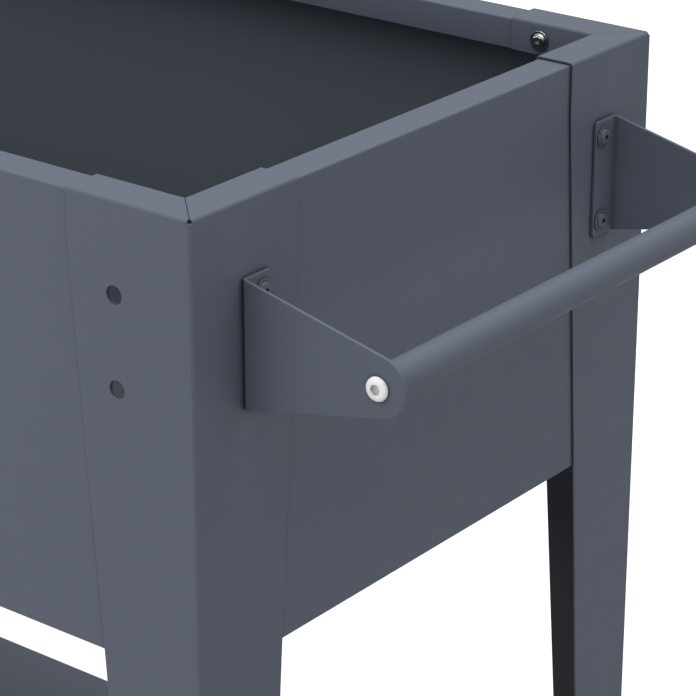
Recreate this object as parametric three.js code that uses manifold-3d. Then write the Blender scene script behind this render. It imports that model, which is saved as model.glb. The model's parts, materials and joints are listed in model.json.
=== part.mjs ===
// Raised planter on legs: a folded sheet-steel box on four folded corner legs,
// with a low shelf, a push handle at one end and a pair of wheels at the other.
//
// Units are millimetres. +Z is up and z = 0 is the ground. +X points to the
// handle end, and -Y is the left-hand side of a person holding the handle.
// The origin is under the middle of the whole object's box.

import * as THREE from 'three';
import { mergeVertices } from 'three/addons/utils/BufferGeometryUtils.js';
import Module from 'manifold-3d';

const wasm = await Module();
wasm.setup();

// ---------------------------------------------------------------- dimensions

// Body, outside of the legs
const LENGTH = 1000;            // end face to end face
const WIDTH = 400;              // long face to long face
const HEIGHT = 800;             // ground to rim

// Folded sheet
const LEG_T = 1.2;              // leg sheet
const PANEL_T = 0.8;            // side, end and floor sheet
const BEND_R = 2.0;             // outside bend radius of a leg
const PANEL_BEND_R = 1.5;       // outside bend radius of a panel
const NEST = 1.5;               // panel face behind leg face
const MITRE = 0.16;             // half of the mitre gap, along one leg
const BEND_STEPS = 3;

// Legs
const LEG_ARM = 80;             // width of each face at the rim
const LEG_STRAIGHT = 29;        // height below the rim before the taper starts
const LEG_TAPER = 0.068;        // width lost per millimetre of height
const RIM_W = 24.4;             // rim flange, outer face to inner lip
const LIP_H = 19.5;             // lip, rim to lower edge
const CORNER_NOTCH = 2.2;       // bend relief in the rim's outer corner
const FOOT_GAP = 2.2;           // leg end above ground, inside the foot cap
const WHEEL_LEG_END = 52;       // end of a wheel leg above ground

// Side and end panels
const PANEL_RIM_W = 23.0;       // outer leg face to the panel's inner lip
const PANEL_BOTTOM = 250;       // rim to the panel's lower edge
const PANEL_RETURN = 16.5;      // outer leg face to the end of the lower return
const DIAG = 0.3;               // mitre gap of the panels at a corner

// Holes for fasteners, from the leg's corner and below the rim
const HOLE_IN = 50;
const HOLE_TOP = 49.5;
const HOLE_LOW = 99.5;
const OPEN_HOLE_R = 5.0;
const BOLT_HOLE_R = 3.4;
const LIP_BOLT_IN = 60;
const LIP_BOLT_DOWN = 11;
const SHELF_BOLT_IN = 20;
const SHELF_BOLT_DOWN = 588;

// Floor pan, braces and shelf
const PAN_TOP = 236.5;          // below the rim
const PAN_BOTTOM = 248.8;
const PAN_INSET = 3.0;
const DRAIN_R = 4.0;
const BRACE_X = [-170, 170];
const SHELF_TOP = 575;          // below the rim
const SHELF_EDGE = 26;
const SHELF_T = 1.0;

// Handle
const BRACKET_T = 2.0;
const BRACKET_Y = 36;           // long face to the bracket's outer face
const BRACKET_FLANGE = 21;
const BRACKET_MID = 74.5;         // below the rim
const BRACKET_HALF = 35;
const BRACKET_REACH = 83.6;      // end face to the tube's axis
const BRACKET_TIP_R = 16.0;
const TUBE_DROP = 0.7;          // tube's axis below the bracket's middle
const TUBE_R = 9.5;
const TUBE_T = 1.5;

// Wheels
const WHEEL_R = 75;
const WHEEL_W = 34;
const AXLE_R = 5;
const AXLE_IN = 15;             // end face to the axle
const RIM_R = 58;
const SPACER_W = 6;

// Whole-object box along X, used to centre the frame
const X_MAX = LENGTH / 2 + BRACKET_REACH + BRACKET_TIP_R;
const X_MIN = -LENGTH / 2 + AXLE_IN - WHEEL_R;
const X_SHIFT = -(X_MAX + X_MIN) / 2;

// ----------------------------------------------------------------- materials

function paint(hex) {
  return new THREE.MeshStandardMaterial({ color: hex, roughness: 0.5, metalness: 0.15 });
}
const SLATE = 0x5a616d;
const steel = (hex, rough = 0.35) =>
  new THREE.MeshStandardMaterial({ color: hex, roughness: rough, metalness: 0.9 });
const plastic = (hex, rough = 0.6) =>
  new THREE.MeshStandardMaterial({ color: hex, roughness: rough, metalness: 0 });

// ------------------------------------------------------------ solid modelling

function solidOf(geometry) {
  const g = geometry.clone();
  g.deleteAttribute('normal');
  g.deleteAttribute('uv');
  const m = mergeVertices(g, 1e-4);
  const vertProperties = new Float32Array(m.getAttribute('position').array);
  const triVerts = new Uint32Array(m.index.array);
  return new wasm.Manifold(new wasm.Mesh({ numProp: 3, vertProperties, triVerts }));
}

function geometryOf(solid) {
  const mesh = solid.getMesh();
  const g = new THREE.BufferGeometry();
  const n = mesh.numProp;
  const count = mesh.vertProperties.length / n;
  const pos = new Float32Array(count * 3);
  for (let i = 0; i < count; i++) {
    for (let k = 0; k < 3; k++) pos[3 * i + k] = mesh.vertProperties[n * i + k];
  }
  g.setAttribute('position', new THREE.BufferAttribute(pos, 3));
  g.setIndex(new THREE.BufferAttribute(new Uint32Array(mesh.triVerts), 1));
  g.computeVertexNormals();
  return g;
}

// Maps a geometry by a matrix, and turns its faces over again if it is mirrored.
function mapped(geometry, matrix) {
  const g = geometry.clone();
  g.applyMatrix4(matrix);
  if (matrix.determinant() < 0) {
    const index = g.index ? Array.from(g.index.array)
      : Array.from({ length: g.getAttribute('position').count }, (_, i) => i);
    for (let i = 0; i < index.length; i += 3) {
      const t = index[i + 1];
      index[i + 1] = index[i + 2];
      index[i + 2] = t;
    }
    g.setIndex(index);
  }
  g.computeVertexNormals();
  return g;
}

function columns(x, y, z, at = [0, 0, 0]) {
  const m = new THREE.Matrix4();
  m.makeBasis(new THREE.Vector3(...x), new THREE.Vector3(...y), new THREE.Vector3(...z));
  m.setPosition(...at);
  return m;
}

// An outline drawn in the plane of axes a and b, extruded along the third axis
// from lo to hi. Axes are 'x', 'y' and 'z'.
const UNIT = { x: [1, 0, 0], y: [0, 1, 0], z: [0, 0, 1] };
function prism(points, a, b, lo, hi) {
  const shape = new THREE.Shape(points.map((p) => new THREE.Vector2(p[0], p[1])));
  const g = new THREE.ExtrudeGeometry(shape, { depth: hi - lo, bevelEnabled: false, steps: 1 });
  const c = ['x', 'y', 'z'].find((k) => k !== a && k !== b);
  const at = UNIT[c].map((v) => v * lo);
  return solidOf(mapped(g, columns(UNIT[a], UNIT[b], UNIT[c], at)));
}

function block(x0, x1, y0, y1, z0, z1) {
  const g = new THREE.BoxGeometry(x1 - x0, y1 - y0, z1 - z0);
  g.translate((x0 + x1) / 2, (y0 + y1) / 2, (z0 + z1) / 2);
  return solidOf(g);
}

// A round bar of radius r with its axis along one of the three axes.
function bar(axis, at, r, lo, hi, sides = 12) {
  const g = new THREE.CylinderGeometry(r, r, hi - lo, sides);
  g.translate(0, (lo + hi) / 2, 0);
  const others = { x: [UNIT.y, UNIT.x, UNIT.z], y: [UNIT.x, UNIT.y, UNIT.z], z: [UNIT.x, UNIT.z, UNIT.y] };
  const [p, q, s] = others[axis];
  return solidOf(mapped(g, columns(p, q, s, at)));
}

// Outline of a folded sheet. The path is the sheet's face on its left-hand
// side, walking along it; the sheet lies to the right, t thick, and each fold
// has the outside radius r.
function foldedOutline(path, t, r, steps = BEND_STEPS) {
  const face = [];
  const back = [];
  const n = path.length;
  const dir = (p, q) => {
    const dx = q[0] - p[0];
    const dy = q[1] - p[1];
    const l = Math.hypot(dx, dy);
    return [dx / l, dy / l];
  };
  for (let i = 0; i < n; i++) {
    const p = path[i];
    if (i === 0 || i === n - 1) {
      const d = i === 0 ? dir(p, path[1]) : dir(path[n - 2], p);
      face.push([p[0], p[1]]);
      back.push([p[0] + d[1] * t, p[1] - d[0] * t]);
      continue;
    }
    const d0 = dir(path[i - 1], p);
    const d1 = dir(p, path[i + 1]);
    const cross = d0[0] * d1[1] - d0[1] * d1[0];
    const turn = Math.atan2(cross, d0[0] * d1[0] + d0[1] * d1[1]);
    // A right turn puts the face on the outside of the fold.
    const rf = turn < 0 ? r : r - t;
    const rb = turn < 0 ? r - t : r;
    const side = turn < 0 ? 1 : -1;
    const cut = rf * Math.tan(Math.abs(turn) / 2);
    const start = [p[0] - d0[0] * cut, p[1] - d0[1] * cut];
    const centre = [start[0] + side * d0[1] * rf, start[1] - side * d0[0] * rf];
    for (let k = 0; k <= steps; k++) {
      const a = (turn * k) / steps;
      const v = [-side * d0[1], side * d0[0]];
      const w = [v[0] * Math.cos(a) - v[1] * Math.sin(a), v[0] * Math.sin(a) + v[1] * Math.cos(a)];
      face.push([centre[0] + w[0] * rf, centre[1] + w[1] * rf]);
      back.push([centre[0] + w[0] * rb, centre[1] + w[1] * rb]);
    }
  }
  return [...face, ...back.reverse()];
}

function arc(cx, cy, r, from, to, steps) {
  const out = [];
  for (let k = 0; k <= steps; k++) {
    const a = ((from + ((to - from) * k) / steps) * Math.PI) / 180;
    out.push([cx + r * Math.cos(a), cy + r * Math.sin(a)]);
  }
  return out;
}

// --------------------------------------------------------------------- legs

// A leg is drawn at the corner x = 0, y = 0, with its faces along +x (the long
// side of the box) and +y (the end of the box).
function legSolid({ foot, wheel }) {
  const armX = foldedOutline([[LEG_ARM, 0], [0, 0], [0, LEG_ARM]], LEG_T, BEND_R);
  let leg = prism(armX.map((p) => p), 'x', 'y', foot, HEIGHT - BEND_R);

  // Rim channel over the long side, and the one over the end
  const hook = foldedOutline(
    [[0, HEIGHT - 8], [0, HEIGHT], [RIM_W, HEIGHT], [RIM_W, HEIGHT - LIP_H]], LEG_T, BEND_R);
  const beyond = 40;
  const alongX = prism(hook, 'y', 'z', CORNER_NOTCH, LEG_ARM)
    .intersect(prism([[MITRE, 0], [LEG_ARM + 5, LEG_ARM + 5 - MITRE], [LEG_ARM + 5, -5], [MITRE - 5, -5]],
      'x', 'y', HEIGHT - beyond, HEIGHT + 5));
  const alongY = prism(hook, 'x', 'z', CORNER_NOTCH, LEG_ARM)
    .intersect(prism([[0, MITRE], [-5, MITRE - 5], [-5, LEG_ARM + 5], [LEG_ARM + 5 - MITRE, LEG_ARM + 5]],
      'x', 'y', HEIGHT - beyond, HEIGHT + 5));
  leg = leg.add(alongX).add(alongY);

  // Tapered edges
  const start = HEIGHT - LEG_STRAIGHT;
  const low = LEG_ARM - LEG_TAPER * (start + 5);
  const edge = [[LEG_ARM, start], [low, -5], [LEG_ARM + 10, -5], [LEG_ARM + 10, start]];
  leg = leg.subtract(prism(edge, 'x', 'z', -5, LEG_ARM + 10));
  leg = leg.subtract(prism(edge, 'y', 'z', -5, LEG_ARM + 10));

  // Two open holes in the long face, two in the end face
  for (const down of [HOLE_TOP, HOLE_LOW]) {
    leg = leg.subtract(bar('y', [HOLE_IN, 0, HEIGHT - down], OPEN_HOLE_R, -1, LEG_T + 1));
    leg = leg.subtract(bar('x', [0, HOLE_IN, HEIGHT - down], wheel ? OPEN_HOLE_R : BOLT_HOLE_R, -1, LEG_T + 1));
  }
  // Lip bolts
  leg = leg.subtract(bar('y', [LIP_BOLT_IN, 0, HEIGHT - LIP_BOLT_DOWN], BOLT_HOLE_R, RIM_W - 3, RIM_W + 1, 10));
  leg = leg.subtract(bar('x', [0, LIP_BOLT_IN, HEIGHT - LIP_BOLT_DOWN], BOLT_HOLE_R, RIM_W - 3, RIM_W + 1, 10));
  // Shelf bolt and axle
  leg = leg.subtract(bar('y', [SHELF_BOLT_IN, 0, HEIGHT - SHELF_BOLT_DOWN], BOLT_HOLE_R, -1, LEG_T + 1, 10));
  if (wheel) leg = leg.subtract(bar('y', [AXLE_IN, 0, WHEEL_R], AXLE_R + 0.3, -1, LEG_T + 1));
  return leg;
}

// Places a corner piece: sx is +1 at the handle end, sy is -1 on the left.
function cornerMatrix(sx, sy) {
  return columns([-sx, 0, 0], [0, -sy, 0], [0, 0, 1], [(sx * LENGTH) / 2, (sy * WIDTH) / 2, 0]);
}

// ------------------------------------------------------------------- panels

const panelProfile = foldedOutline([
  [PANEL_RETURN, HEIGHT - PANEL_BOTTOM],
  [NEST, HEIGHT - PANEL_BOTTOM],
  [NEST, HEIGHT - NEST],
  [PANEL_RIM_W, HEIGHT - NEST],
  [PANEL_RIM_W, HEIGHT - LIP_H],
], PANEL_T, PANEL_BEND_R);

// A panel along +x from a corner at the origin, span long, with mitred folds.
function panelSolid(span) {
  const z0 = HEIGHT - PANEL_BOTTOM - 5;
  const z1 = HEIGHT + 5;
  const far = 60;
  return prism(panelProfile, 'y', 'z', 0, span)
    .intersect(prism([[DIAG, 0], [far + DIAG, far], [span - far - DIAG, far], [span - DIAG, 0]], 'x', 'y', z0, z1));
}

function longPanel() {
  let p = panelSolid(LENGTH);
  for (const x of [HOLE_IN, LENGTH - HOLE_IN]) {
    for (const down of [HOLE_TOP, HOLE_LOW]) {
      p = p.subtract(bar('y', [x, 0, HEIGHT - down], OPEN_HOLE_R, 0, 4));
    }
  }
  for (const x of [LIP_BOLT_IN, LENGTH - LIP_BOLT_IN]) {
    p = p.subtract(bar('y', [x, 0, HEIGHT - LIP_BOLT_DOWN], BOLT_HOLE_R, 21, 24, 10));
  }
  return p;
}

function endPanel(holeR) {
  let p = panelSolid(WIDTH);
  for (const x of [HOLE_IN, WIDTH - HOLE_IN]) {
    for (const down of [HOLE_TOP, HOLE_LOW]) {
      p = p.subtract(bar('y', [x, 0, HEIGHT - down], holeR, 0, 4));
    }
  }
  for (const x of [LIP_BOLT_IN, WIDTH - LIP_BOLT_IN]) {
    p = p.subtract(bar('y', [x, 0, HEIGHT - LIP_BOLT_DOWN], BOLT_HOLE_R, 21, 24, 10));
  }
  return p;
}

// A flat sheet with its four edges folded down, open at the corners.
function traySolid(x0, x1, y0, y1, zTop, zLow, t, r, relief) {
  const shell = (o) => {
    const top = zTop - o;
    const rr = r - o;
    const cap = (a, b) => [[a + o, zLow - (o ? 5 : 0)], ...arc(a + o + rr, top - rr, rr, 180, 90, BEND_STEPS),
      ...arc(b - o - rr, top - rr, rr, 90, 0, BEND_STEPS), [b - o, zLow - (o ? 5 : 0)]];
    return prism(cap(x0, x1), 'x', 'z', y0 + o, y1 - o).intersect(prism(cap(y0, y1), 'y', 'z', x0 + o, x1 - o));
  };
  let tray = shell(0).subtract(shell(t));
  for (const [cx, cy] of [[x0, y0], [x1, y0], [x0, y1], [x1, y1]]) {
    tray = tray.subtract(block(cx - relief, cx + relief, cy - relief, cy + relief, zLow - 1, zTop + 1));
  }
  return tray;
}

// ---------------------------------------------------------------- fasteners

// A flanged button-head screw: the head's seat is at z = 0, the head is above
// it and the shank below. The driving socket is a hexagon.
const HEAD = { flange: 6.5, dome: 5.2, top: 3.4, height: 2.5, rim: 0.8, socket: 2.3 };
function screwSolid(shank, length, h = HEAD) {
  const pts = [
    [0, -length], [shank, -length], [shank, 0], [h.flange, 0], [h.flange, h.rim],
    [h.dome, h.rim + 0.25], [h.top, h.height], [0, h.height],
  ].map((p) => new THREE.Vector2(p[0], p[1]));
  const g = new THREE.LatheGeometry(pts, 12);
  g.rotateX(Math.PI / 2);
  const hex = new THREE.CylinderGeometry(h.socket, h.socket, 4, 6);
  hex.rotateX(Math.PI / 2);
  hex.translate(0, 0, h.height);
  return geometryOf(solidOf(g).subtract(solidOf(hex)));
}

// A flange nut, seated on z = 0 and standing along +z.
function nutGeometry(bore) {
  const body = new THREE.CylinderGeometry(5.75, 5.75, 4.4, 6);
  body.rotateX(Math.PI / 2);
  body.translate(0, 0, 0.8 + 2.2);
  const flange = new THREE.CylinderGeometry(6.5, 6.5, 1.0, 12);
  flange.rotateX(Math.PI / 2);
  flange.translate(0, 0, 0.5);
  const hole = new THREE.CylinderGeometry(bore, bore, 12, 8);
  hole.rotateX(Math.PI / 2);
  return geometryOf(solidOf(body).add(solidOf(flange)).subtract(solidOf(hole)));
}

// ----------------------------------------------------------------- assembly

const planter = new THREE.Group();
planter.name = 'raised_planter';
planter.position.x = X_SHIFT;

function add(name, geometry, material, parent = planter) {
  const mesh = new THREE.Mesh(geometry, material);
  mesh.name = name;
  parent.add(mesh);
  return mesh;
}

const X_END = { handle: 1, wheel: -1 };
const Y_SIDE = { left: -1, right: 1 };

// Legs
for (const [end, sx] of Object.entries(X_END)) {
  const leg = geometryOf(legSolid({ foot: end === 'wheel' ? WHEEL_LEG_END : FOOT_GAP, wheel: end === 'wheel' }));
  for (const [side, sy] of Object.entries(Y_SIDE)) {
    add(`leg_${end}_${side}`, mapped(leg, cornerMatrix(sx, sy)), paint(SLATE));
  }
}

// Side panels, and the end panels turned by a quarter
const side = geometryOf(longPanel());
add('side_panel_left', mapped(side, columns([1, 0, 0], [0, 1, 0], [0, 0, 1], [-LENGTH / 2, -WIDTH / 2, 0])), paint(SLATE));
add('side_panel_right', mapped(side, columns([1, 0, 0], [0, -1, 0], [0, 0, 1], [-LENGTH / 2, WIDTH / 2, 0])), paint(SLATE));
add('end_panel_handle', mapped(geometryOf(endPanel(BOLT_HOLE_R)),
  columns([0, 1, 0], [-1, 0, 0], [0, 0, 1], [LENGTH / 2, -WIDTH / 2, 0])), paint(SLATE));
add('end_panel_wheel', mapped(geometryOf(endPanel(OPEN_HOLE_R)),
  columns([0, 1, 0], [1, 0, 0], [0, 0, 1], [-LENGTH / 2, -WIDTH / 2, 0])), paint(SLATE));

// Floor pan with drain holes, on the lower returns of the panels
{
  const x = LENGTH / 2 - PAN_INSET;
  const y = WIDTH / 2 - PAN_INSET;
  let pan = traySolid(-x, x, -y, y, HEIGHT - PAN_TOP, HEIGHT - PAN_BOTTOM, PANEL_T, PANEL_BEND_R, 4);
  for (const px of [-390, -234, -78, 78, 234, 390]) {
    for (const py of [-95, 95]) {
      pan = pan.subtract(bar('z', [px, py, 0], DRAIN_R, HEIGHT - PAN_TOP - 3, HEIGHT - PAN_TOP + 2, 8));
    }
  }
  add('floor_pan', geometryOf(pan), paint(SLATE));
}

// Hat-section braces under the pan
BRACE_X.forEach((bx, i) => {
  const z = HEIGHT - PAN_TOP - PANEL_T - 0.3;
  const low = HEIGHT - PANEL_BOTTOM + 1.2;
  const hat = foldedOutline([[-27, z], [-15, z], [-13, low], [13, low], [15, z], [27, z]].map((p) => [p[0] + bx, p[1]]),
    LEG_T, BEND_R, 2);
  add(`floor_brace_${i + 1}`, geometryOf(prism(hat, 'x', 'z', -WIDTH / 2 + 18, WIDTH / 2 - 18)), paint(SLATE));
});

// Shelf, inside the legs
{
  const x = LENGTH / 2 - NEST;
  const y = WIDTH / 2 - NEST;
  let shelf = traySolid(-x, x, -y, y, HEIGHT - SHELF_TOP, HEIGHT - SHELF_TOP - SHELF_EDGE, SHELF_T, BEND_R, 3);
  for (const sx of [-1, 1]) {
    for (const sy of [-1, 1]) {
      const hx = sx * (LENGTH / 2 - SHELF_BOLT_IN);
      shelf = shelf.subtract(bar('y', [hx, sy * y, HEIGHT - SHELF_BOLT_DOWN], BOLT_HOLE_R, -4, 4, 10));
    }
  }
  add('shelf', geometryOf(shelf), paint(SLATE));
}

// Handle brackets: a flange on the leg and a web that tapers to a round tip
function bracketGeometry() {
  const gap = 0.15;
  const reach = BRACKET_REACH + BRACKET_TIP_R + 2;
  const mid = HEIGHT - BRACKET_MID;
  const fold = foldedOutline([[gap, BRACKET_Y + BRACKET_FLANGE], [gap, BRACKET_Y], [reach, BRACKET_Y]].reverse(),
    BRACKET_T, 3.0);
  let b = prism(fold, 'x', 'y', mid - BRACKET_HALF - 1, mid + BRACKET_HALF + 1);
  // Tangents from the root to the tip's circle
  const d = Math.hypot(BRACKET_REACH, BRACKET_HALF);
  const rootAngle = (Math.atan2(BRACKET_HALF, -BRACKET_REACH) * 180) / Math.PI;
  const touch = rootAngle - (Math.acos(BRACKET_TIP_R / d) * 180) / Math.PI;
  const web = [[-1, mid - BRACKET_HALF], ...arc(BRACKET_REACH, mid, BRACKET_TIP_R, -touch, touch, 14), [-1, mid + BRACKET_HALF]];
  b = b.intersect(prism(web, 'x', 'z', BRACKET_Y - 1, BRACKET_Y + BRACKET_FLANGE + 1));
  // Rounded free corners of the flange
  const r = 4;
  const y1 = BRACKET_Y + BRACKET_FLANGE;
  const flange = [[BRACKET_Y - 1, mid - BRACKET_HALF], ...arc(y1 - r, mid - BRACKET_HALF + r, r, -90, 0, 5),
    ...arc(y1 - r, mid + BRACKET_HALF - r, r, 0, 90, 5), [BRACKET_Y - 1, mid + BRACKET_HALF]];
  b = b.intersect(prism(flange, 'y', 'z', -1, reach + 1));
  for (const down of [HOLE_TOP, HOLE_LOW]) {
    b = b.subtract(bar('x', [0, HOLE_IN, HEIGHT - down], BOLT_HOLE_R, -1, 4, 10));
  }
  b = b.subtract(bar('y', [BRACKET_REACH, 0, mid - TUBE_DROP], BOLT_HOLE_R, BRACKET_Y - 1, BRACKET_Y + 3, 10));
  return geometryOf(b);
}
{
  const bracket = bracketGeometry();
  add('handle_bracket_left', mapped(bracket, columns([1, 0, 0], [0, 1, 0], [0, 0, 1], [LENGTH / 2, -WIDTH / 2, 0])), paint(SLATE));
  add('handle_bracket_right', mapped(bracket, columns([1, 0, 0], [0, -1, 0], [0, 0, 1], [LENGTH / 2, WIDTH / 2, 0])), paint(SLATE));
}

// Handle tube, with a threaded insert and a screw in each end
const tubeHalf = WIDTH / 2 - BRACKET_Y - BRACKET_T - 0.2;
const handle = new THREE.Group();
handle.position.set(LENGTH / 2 + BRACKET_REACH, 0, HEIGHT - BRACKET_MID - TUBE_DROP);
planter.add(handle);
{
  const w = tubeHalf;
  const ring = [[TUBE_R - TUBE_T, -w], [TUBE_R - 0.5, -w], [TUBE_R, -w + 0.5], [TUBE_R, w - 0.5], [TUBE_R - 0.5, w], [TUBE_R - TUBE_T, w], [TUBE_R - TUBE_T, -w]]
    .map((p) => new THREE.Vector2(p[0], p[1]));
  add('handle_tube', geometryOf(solidOf(new THREE.LatheGeometry(ring, 24))), paint(SLATE), handle);
  for (const [name, sy] of Object.entries(Y_SIDE)) {
    const outer = TUBE_R - TUBE_T - 0.3;
    const plug = [[3.4, 0], [outer, 0], [outer, 22], [3.4, 22], [3.4, 0]].map((p) => new THREE.Vector2(p[0], p[1]));
    const insert = add(`handle_insert_${name}`, geometryOf(solidOf(new THREE.LatheGeometry(plug, 12))), steel(0x9aa0a8), handle);
    insert.rotation.z = sy > 0 ? Math.PI : 0;
    insert.position.y = sy * (w - 0.4);
    const screw = add(`handle_screw_${name}`, screwSolid(3, 20), steel(0xd8dadd, 0.25), handle);
    screw.rotation.x = sy > 0 ? -Math.PI / 2 : Math.PI / 2;
    screw.position.y = sy * (w + 0.2 + BRACKET_T + 0.15);
  }
}

// Bracket screws and their nuts behind the end panel
for (const [name, sy] of Object.entries(Y_SIDE)) {
  for (const [level, down] of [['upper', HOLE_TOP], ['lower', HOLE_LOW]]) {
    const y = sy * (WIDTH / 2 - HOLE_IN);
    const z = HEIGHT - down;
    const screw = add(`bracket_screw_${name}_${level}`, screwSolid(3, 14), paint(0x4c525c));
    screw.rotation.y = Math.PI / 2;
    screw.position.set(LENGTH / 2 + 0.15 + BRACKET_T + 0.15, y, z);
    const nut = add(`bracket_nut_${name}_${level}`, nutGeometry(3.5), steel(0x9aa0a8));
    nut.rotation.y = -Math.PI / 2;
    nut.position.set(LENGTH / 2 - NEST - PANEL_T - 0.15, y, z);
  }
}

// Lip screws: heads face into the box, nuts sit inside the rim channel
for (const [end, sx] of Object.entries(X_END)) {
  for (const [name, sy] of Object.entries(Y_SIDE)) {
    const z = HEIGHT - LIP_BOLT_DOWN;
    // On the long side
    const x = sx * (LENGTH / 2 - LIP_BOLT_IN);
    const s1 = add(`lip_screw_side_${end}_${name}`, screwSolid(3, 9), steel(0x25272a, 0.25));
    s1.rotation.x = sy < 0 ? -Math.PI / 2 : Math.PI / 2;
    s1.position.set(x, sy * (WIDTH / 2 - RIM_W - 0.15), z);
    const n1 = add(`lip_nut_side_${end}_${name}`, nutGeometry(3.5), steel(0x9aa0a8));
    n1.rotation.x = sy < 0 ? Math.PI / 2 : -Math.PI / 2;
    n1.position.set(x, sy * (WIDTH / 2 - PANEL_RIM_W + PANEL_T + 0.15), z);
    // On the end
    const y = sy * (WIDTH / 2 - LIP_BOLT_IN);
    const s2 = add(`lip_screw_end_${end}_${name}`, screwSolid(3, 9), steel(0x25272a, 0.25));
    s2.rotation.y = sx > 0 ? -Math.PI / 2 : Math.PI / 2;
    s2.position.set(sx * (LENGTH / 2 - RIM_W - 0.15), y, z);
    const n2 = add(`lip_nut_end_${end}_${name}`, nutGeometry(3.5), steel(0x9aa0a8));
    n2.rotation.y = sx > 0 ? Math.PI / 2 : -Math.PI / 2;
    n2.position.set(sx * (LENGTH / 2 - PANEL_RIM_W + PANEL_T + 0.15), y, z);
    // Shelf screws through the long face of each leg
    const s3 = add(`shelf_screw_${end}_${name}`, screwSolid(3, 12), paint(0x4c525c));
    s3.rotation.x = sy < 0 ? Math.PI / 2 : -Math.PI / 2;
    s3.position.set(sx * (LENGTH / 2 - SHELF_BOLT_IN), sy * (WIDTH / 2 + 0.15), HEIGHT - SHELF_BOLT_DOWN);
  }
}

// Foot caps on the two handle legs: an angle-shaped shoe with a slot
function footGeometry() {
  const h = 24;
  const arm = LEG_ARM - LEG_TAPER * (HEIGHT - LEG_STRAIGHT) + 3.4;
  const wall = 1.8;
  const outer = foldedOutline([[arm, -wall], [-wall, -wall], [-wall, arm]], LEG_T + 2 * wall, BEND_R + wall, 4);
  const slot = foldedOutline([[arm - 1.6, -0.3], [-0.3, -0.3], [-0.3, arm - 1.6]], LEG_T + 0.6, BEND_R + 0.3, 4);
  return geometryOf(prism(outer, 'x', 'y', 0, h).subtract(prism(slot, 'x', 'y', FOOT_GAP - 0.3, h + 1)));
}
{
  const cap = footGeometry();
  for (const [name, sy] of Object.entries(Y_SIDE)) {
    add(`foot_cap_${name}`, mapped(cap, cornerMatrix(1, sy)), plastic(0x1c1d1f));
  }
}

// Axle, spacers, wheels and end caps
const axleX = -LENGTH / 2 + AXLE_IN;
const hubStart = WIDTH / 2 + 0.25 + SPACER_W + 0.4;
const hubEnd = hubStart + WHEEL_W;
const axleHalf = hubEnd + 4.2;
{
  const axle = new THREE.CylinderGeometry(AXLE_R, AXLE_R, 2 * axleHalf, 20);
  add('axle', geometryOf(solidOf(axle)), steel(0x9aa0a8)).position.set(axleX, 0, WHEEL_R);

  const lathe = (pts, n) => geometryOf(solidOf(new THREE.LatheGeometry(pts.map((p) => new THREE.Vector2(p[0], p[1])), n)));
  const tyreHalf = WHEEL_W / 2;
  const tread = [
    [RIM_R + 0.3, -tyreHalf + 2], [RIM_R + 2, -tyreHalf], [WHEEL_R - 6, -tyreHalf], [WHEEL_R - 1.6, -tyreHalf + 4],
    [WHEEL_R, -tyreHalf + 10], [WHEEL_R, tyreHalf - 10],
    [WHEEL_R - 1.6, tyreHalf - 4], [WHEEL_R - 6, tyreHalf], [RIM_R + 2, tyreHalf], [RIM_R + 0.3, tyreHalf - 2],
    [RIM_R + 0.3, -tyreHalf + 2],
  ];
  const bore = AXLE_R + 0.1;
  const hubProfile = [
    [bore, -tyreHalf], [13, -tyreHalf], [14, -3.5], [RIM_R - 7, -3.5], [RIM_R - 6, -tyreHalf + 2], [RIM_R, -tyreHalf + 2],
    [RIM_R, tyreHalf - 2], [RIM_R - 6, tyreHalf - 2], [RIM_R - 7, 3.5], [14, 3.5], [13, tyreHalf], [bore, tyreHalf], [bore, -tyreHalf],
  ];
  let hub = solidOf(new THREE.LatheGeometry(hubProfile.map((p) => new THREE.Vector2(p[0], p[1])), 30));
  // Five windows leave five spokes
  for (let k = 0; k < 5; k++) {
    const a = k * 72;
    const inner = arc(0, 0, 19, a - 20, a + 20, 3);
    const outer = arc(0, 0, RIM_R - 11, a + 27, a - 27, 5);
    const window = new THREE.ExtrudeGeometry(new THREE.Shape([...inner, ...outer].map((p) => new THREE.Vector2(p[0], p[1]))),
      { depth: 12, bevelEnabled: false, steps: 1 });
    window.translate(0, 0, -6);
    window.rotateX(Math.PI / 2);
    hub = hub.subtract(solidOf(window));
  }
  const hubShape = geometryOf(hub);
  const tyreShape = lathe(tread, 32);
  const spacerShape = lathe([[AXLE_R + 0.3, 0], [9, 0], [8.4, SPACER_W], [AXLE_R + 0.3, SPACER_W], [AXLE_R + 0.3, 0]], 16);
  const capShape = lathe([[AXLE_R + 0.3, 0], [9.5, 0], [9.5, 3.2], [8.2, 6], [5, 7.4], [0, 7.8], [0, 4.4], [AXLE_R + 0.3, 4.4], [AXLE_R + 0.3, 0]], 16);
  for (const [name, sy] of Object.entries(Y_SIDE)) {
    const wheel = new THREE.Group();
    wheel.position.set(axleX, sy * (hubStart + hubEnd) / 2, WHEEL_R);
    planter.add(wheel);
    add(`wheel_hub_${name}`, hubShape, plastic(0x2a2b2d, 0.5), wheel);
    add(`tyre_${name}`, tyreShape, plastic(0x151515, 0.85), wheel);
    const spacer = add(`axle_spacer_${name}`, spacerShape, plastic(0x1c1d1f));
    spacer.rotation.x = sy > 0 ? 0 : Math.PI;
    spacer.position.set(axleX, sy * (WIDTH / 2 + 0.25), WHEEL_R);
    const cap = add(`axle_cap_${name}`, capShape, plastic(0x1c1d1f));
    cap.rotation.x = sy > 0 ? 0 : Math.PI;
    cap.position.set(axleX, sy * (hubEnd + 0.5), WHEEL_R);
  }
}

export default planter;
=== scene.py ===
import json
import math

import bmesh
import bpy
from mathutils import Matrix, Vector


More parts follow.
